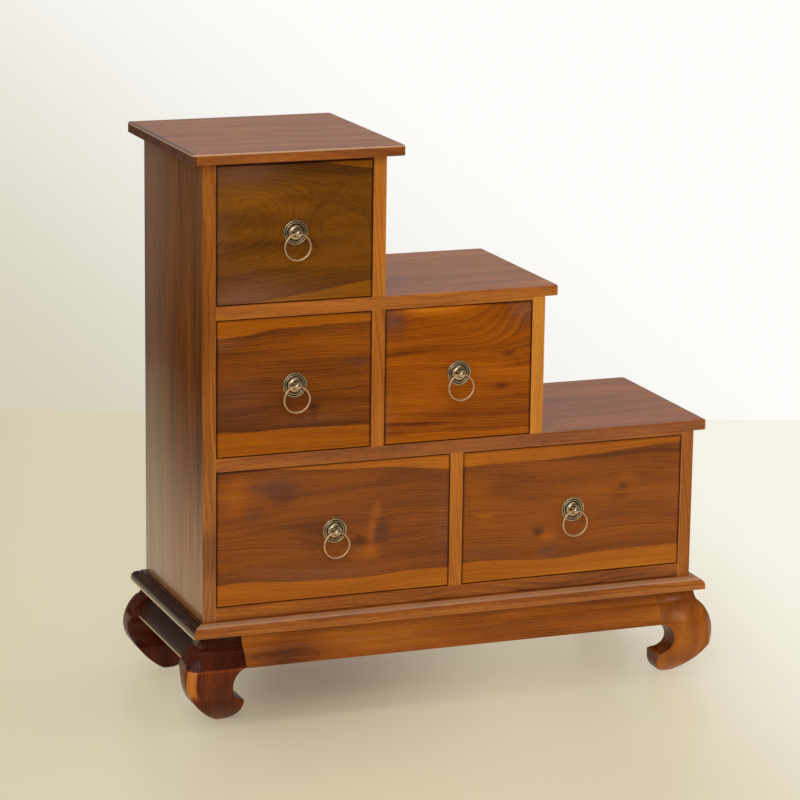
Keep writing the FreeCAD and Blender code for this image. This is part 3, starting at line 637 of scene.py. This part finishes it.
# For each leg: its side in x and y, its timber, and its looks below the belly: the change of tone
# there, the height where it is full, the change on the facet and the painted highlight on the arris
# round the belly
LEG_FINISH = dict(shades=LEG_WOOD, lean=0.2, lines=0.5, shine=(0.1, 0.16))
LEGS = {
    "front_left_leg": (-1, -1, dict(seed=26, tone=0.2, pith=(60, 40)), (0.16, 76, 0.46, 0.2)),
    "front_right_leg": (1, -1, dict(seed=27, tone=0.5, pith=(-60, 40), lines=0.4, shades=CASE_WOOD),
                        (0.07, 40, 0.04, 0)),
    "back_left_leg": (-1, 1, dict(seed=28, tone=0.22, pith=(60, -40)), (0, 76, 0, 0.1)),
    "back_right_leg": (1, 1, dict(seed=29, tone=0.4, pith=(-60, -40)), (0, 76, 0, 0)),
}
CASE_SIDE = 350
CASE_FRONT = 128
BELLY_FOOT = 79
BELLY_ARRIS = 78
ARRIS_WIDTH = (2.6, 0.6)
FACET_WIDTH = (13, 8)
FACET_FOOT = (34, 48)
INWARD = (0.25, 0.55)
INNER_SHADE = 0.3


def leg_tones(node, side_x, side_y, below, full_height, facet, arris):
    """Changes of tone below the belly and on the facet there, a painted highlight on the arris round
    the belly and painted shade on the inner faces.
    """
    centre = middle(node)

    def more(point):
        out_x = point["X"] * side_x + (centre[0] * MM * side_x - CASE_SIDE)
        out_y = point["Y"] * side_y + (centre[1] * MM * side_y - CASE_FRONT)
        height = point["Z"] + centre[2] * MM
        low = height.step(BELLY_FOOT, full_height)
        facing = abs(out_x - out_y).step(*FACET_WIDTH)
        band = low * height.step(*FACET_FOOT)
        # Painted highlight along the arris round the belly
        line = abs(height - BELLY_ARRIS).step(*ARRIS_WIDTH)
        # Painted shade on the faces that look inwards, under the chest
        true_normal = point.graph.add("NewGeometry", output="True Normal")
        outward = point.graph.add("SeparateXYZ", {}, {"Vector": true_normal})
        inner = (outward["X"] * -side_x).step(*INWARD)
        return low * below + facing * band * facet + line * arris - inner * INNER_SHADE
    return more


for node, (side_x, side_y, figure, changes) in LEGS.items():
    tones = leg_tones(node, side_x, side_y, *changes)
    timber = wood(node, "zxy", more=tones, **dict(LEG_FINISH, **figure))
    eased(node, covered_test(node, side_x, side_y), timber)


# Metal

GRIME = tint(44, 34, 22)
METAL_DEPTH = 0.00001
PROUD = (0.46, 0.56)
HOLLOW_DARK = 0.42
PLATE_EDGE = (16, 16.3)
POST_FOOT = (6.4, 5.2)
GROOVES = (13.8, 10.9)
GROOVE_WIDTH = (0.8, 0.3)


def plate_hollows(point):
    """The hollows of a plate: outside its rim, in its two grooves and round its post."""
    radius = (point["X"] * point["X"] + point["Z"] * point["Z"]).math("SQRT")
    share = radius.step(*PLATE_EDGE) + radius.step(*POST_FOOT)
    for groove in GROOVES:
        share = share + abs(radius - groove).step(*GROOVE_WIDTH)
    return share


BRASS = dict(bright=tint(248, 228, 190), dark=tint(140, 116, 80), rough=0.3)
BRONZE = dict(bright=tint(244, 206, 162), dark=tint(204, 160, 112), rough=0.44)
PULL_FINISHES = {
    "_pull_plate": dict(BRASS, hollows=plate_hollows),
    "_pull_post": BRASS,
    "_pull_ring": BRONZE,
}


def antique_brass(node, bright, dark, rough, hollows=None):
    """Brass gone dull olive in its hollows and rubbed paler where it stands proud."""
    graph = material_graph(node + "_brass")
    point = graph.place(middle(node))
    cloud = graph.round_noise(point, width=3, detail=3)
    speck = graph.round_noise(point, width=0.5, detail=2)
    edge = graph.add("NewGeometry", output="Pointiness")
    wear = edge.step(*PROUD) * 0.7 + cloud * 0.3 + 0.3
    if hollows:
        wear = wear - hollows(point) * HOLLOW_DARK
    colour = graph.ramp(wear, [(0, GRIME), (0.25, dark), (1, bright)])
    return graph.finish(Base_Color=colour, Metallic=1.0, Roughness=rough + cloud * 0.1,
                        Normal=graph.bump(speck, METAL_DEPTH))


def steel(node):
    """Plain dull steel."""
    graph = material_graph("screw_steel")
    cloud = graph.round_noise(graph.place(middle(node)), width=4, detail=3)
    colour = graph.ramp(cloud + 0.5, [(0.3, tint(120, 118, 112)), (0.7, tint(176, 174, 168))])
    return graph.finish(Base_Color=colour, Metallic=1.0, Roughness=0.4 + cloud * 0.2)


for drawer in DRAWERS:
    for end, finish in PULL_FINISHES.items():
        dress(drawer + end, antique_brass(drawer + end, **finish))
dress("base_screws", steel("base_screws"))


# Floor, light and camera

YAW = math.radians(21.05)
PITCH = math.radians(-13.46)
ROLL = math.radians(0.755)
LENS = 150.96
CAMERA_AT = (-1.6151, -4.1191, 1.4392)
CAMERA_REACH = 60

# The floor's corners in metres, and where its looks change, in millimetres
FLOOR_END = 3.5
FLOOR_FRONT = -1.6
FLOOR_BACK = 1.47
FLOOR_BRIGHTENS = (150, 750)
SHADE_LEFT = (-330, -180)
SHADE_RIGHT = (160, -150)
FADE_FRONT = (-1600, -1150)
FADE_END = (3500, 2700)
# The floor is lighter towards the right: painted light
FLOOR_LEFT_TINT = tint(213, 203, 174)
FLOOR_RIGHT_TINT = tint(242, 240, 226)
# The floor's painted glow, and how much less of it lies under the chest's left half as a painted
# shadow
GLOW_SHARE = 0.62
SHADE_SHARE = 0.49
LIT_SHARE = 1.235

WALL_LEFT_TINT = tint(211, 206, 183)
WALL_RIGHT_TINT = tint(252, 251, 249)
WALL_RISE = 1.26
WALL_BRIGHTENS = (-0.43, -0.17)
ROOM_TINT = (1, 0.98, 0.94, 1)
FILL = 0.55
DIM = 0.09

LIGHTS = {
    "key": dict(place=(-1.4, -3.4, 2.5), aim=(0, 0, 0.35), size=(2.8, 2.2), power=56),
    "window": dict(place=(-3.2, -1.3, 1.3), aim=(0, 0, 0.3), size=(0.9, 1.6), power=8,
                   colour=(0.96, 0.98, 1)),
    "overhead": dict(place=(0.6, 0.2, 3), aim=(0.1, 0, 0), size=(2.4, 2.4), power=26),
    "wall_glow": dict(place=(1.7, 2.6, 1.3), aim=(0.2, 0, 0.5), size=(3.4, 2.6), power=8),
}


def floor_material():
    """Lighter towards the right, which is painted light, and fading out in front and at both ends. A
    share of the floor's brightness is a painted glow, which keeps the shadows soft. The glow is small
    under the chest's left half, which paints a shadow there.
    """
    graph = material_graph("pale_floor")
    point = graph.place((0, 0, 0))
    to_right = point["X"] * math.cos(YAW) - point["Y"] * math.sin(YAW)
    to_back = point["X"] * math.sin(YAW) + point["Y"] * math.cos(YAW)
    cloud = graph.noise(point["X"] / 300, point["Y"] / 300, 0)
    light = (to_right + to_back * 0.25).step(*FLOOR_BRIGHTENS) + cloud * 0.1
    bright = graph.ramp(light, [(0, FLOOR_LEFT_TINT), (1, FLOOR_RIGHT_TINT)])
    own = GLOW_SHARE - to_right.step(*SHADE_LEFT) * to_right.step(*SHADE_RIGHT) * SHADE_SHARE
    fade = to_back.step(*FADE_FRONT) * abs(to_right).step(*FADE_END)
    return graph.finish(Base_Color=graph.scaled(bright, (1 - own) * LIT_SHARE),
                        Roughness=0.3 + cloud * 0.05, Alpha=fade, Specular_IOR_Level=0.35,
                        Emission_Color=graph.scaled(bright, own), Emission_Strength=1)


def make_floor():
    """A floor that ends a little behind the chest, square to the camera's line of sight."""
    turn = Matrix.Rotation(-YAW, 3, "Z")
    corners = [(-FLOOR_END, FLOOR_FRONT), (FLOOR_END, FLOOR_FRONT),
               (FLOOR_END, FLOOR_BACK), (-FLOOR_END, FLOOR_BACK)]
    mesh = bpy.data.meshes.new("floor")
    mesh.from_pydata([turn @ Vector((x, y, 0)) for x, y in corners], [], [(0, 1, 2, 3)])
    mesh.materials.append(floor_material())
    floor = bpy.data.objects.new("floor", mesh)
    bpy.context.scene.collection.objects.link(floor)


def area_light(name, place, aim, size, power, colour=(1, 1, 1)):
    light = bpy.data.lights.new(name, "AREA")
    light.shape = "RECTANGLE"
    light.size, light.size_y = size
    light.energy = power
    light.color = colour
    lamp = bpy.data.objects.new(name, light)
    lamp.location = place
    lamp.rotation_euler = (Vector(aim) - Vector(place)).to_track_quat("-Z", "Y").to_euler()
    lamp.visible_camera = False
    bpy.context.scene.collection.objects.link(lamp)


def make_world():
    """A pale room for the camera, beige at the lower left and white at the right, a soft fill for
    matt surfaces and a darker room in reflections.
    """
    world = bpy.data.worlds.new("studio")
    bpy.context.scene.world = world
    graph = Graph(world, "World Output")
    direction = graph.add("TexCoord", output="Generated")
    to_light = graph.add("VectorMath", {"operation": "DOT_PRODUCT"},
                         {0: direction, 1: (math.cos(YAW), -math.sin(YAW), WALL_RISE)}, "Value")
    wall = graph.blend(to_light.step(*WALL_BRIGHTENS), WALL_LEFT_TINT, WALL_RIGHT_TINT)
    path = graph.add("LightPath")
    surround = graph.add("Background", {}, {"Color": ROOM_TINT, "Strength": FILL})
    for ray, colour, strength in (("Is Glossy Ray", ROOM_TINT, DIM), ("Is Camera Ray", wall, 1)):
        room = graph.add("Background", {}, {"Color": colour, "Strength": strength})
        surround = graph.add("MixShader", {}, {0: path[ray], 1: surround, 2: room})
    graph.finish(Surface=surround)


def make_camera():
    data = bpy.data.cameras.new("camera")
    data.lens = LENS
    data.clip_end = CAMERA_REACH
    camera = bpy.data.objects.new("camera", data)
    turn = (Matrix.Rotation(-YAW, 4, "Z") @ Matrix.Rotation(math.pi / 2 + PITCH, 4, "X")
            @ Matrix.Rotation(ROLL, 4, "Z"))
    camera.matrix_world = Matrix.Translation(CAMERA_AT) @ turn
    bpy.context.scene.collection.objects.link(camera)
    bpy.context.scene.camera = camera


make_floor()
make_world()
for name, settings in LIGHTS.items():
    area_light(name, **settings)
make_camera()
bpy.context.scene.view_settings.view_transform = "Standard"
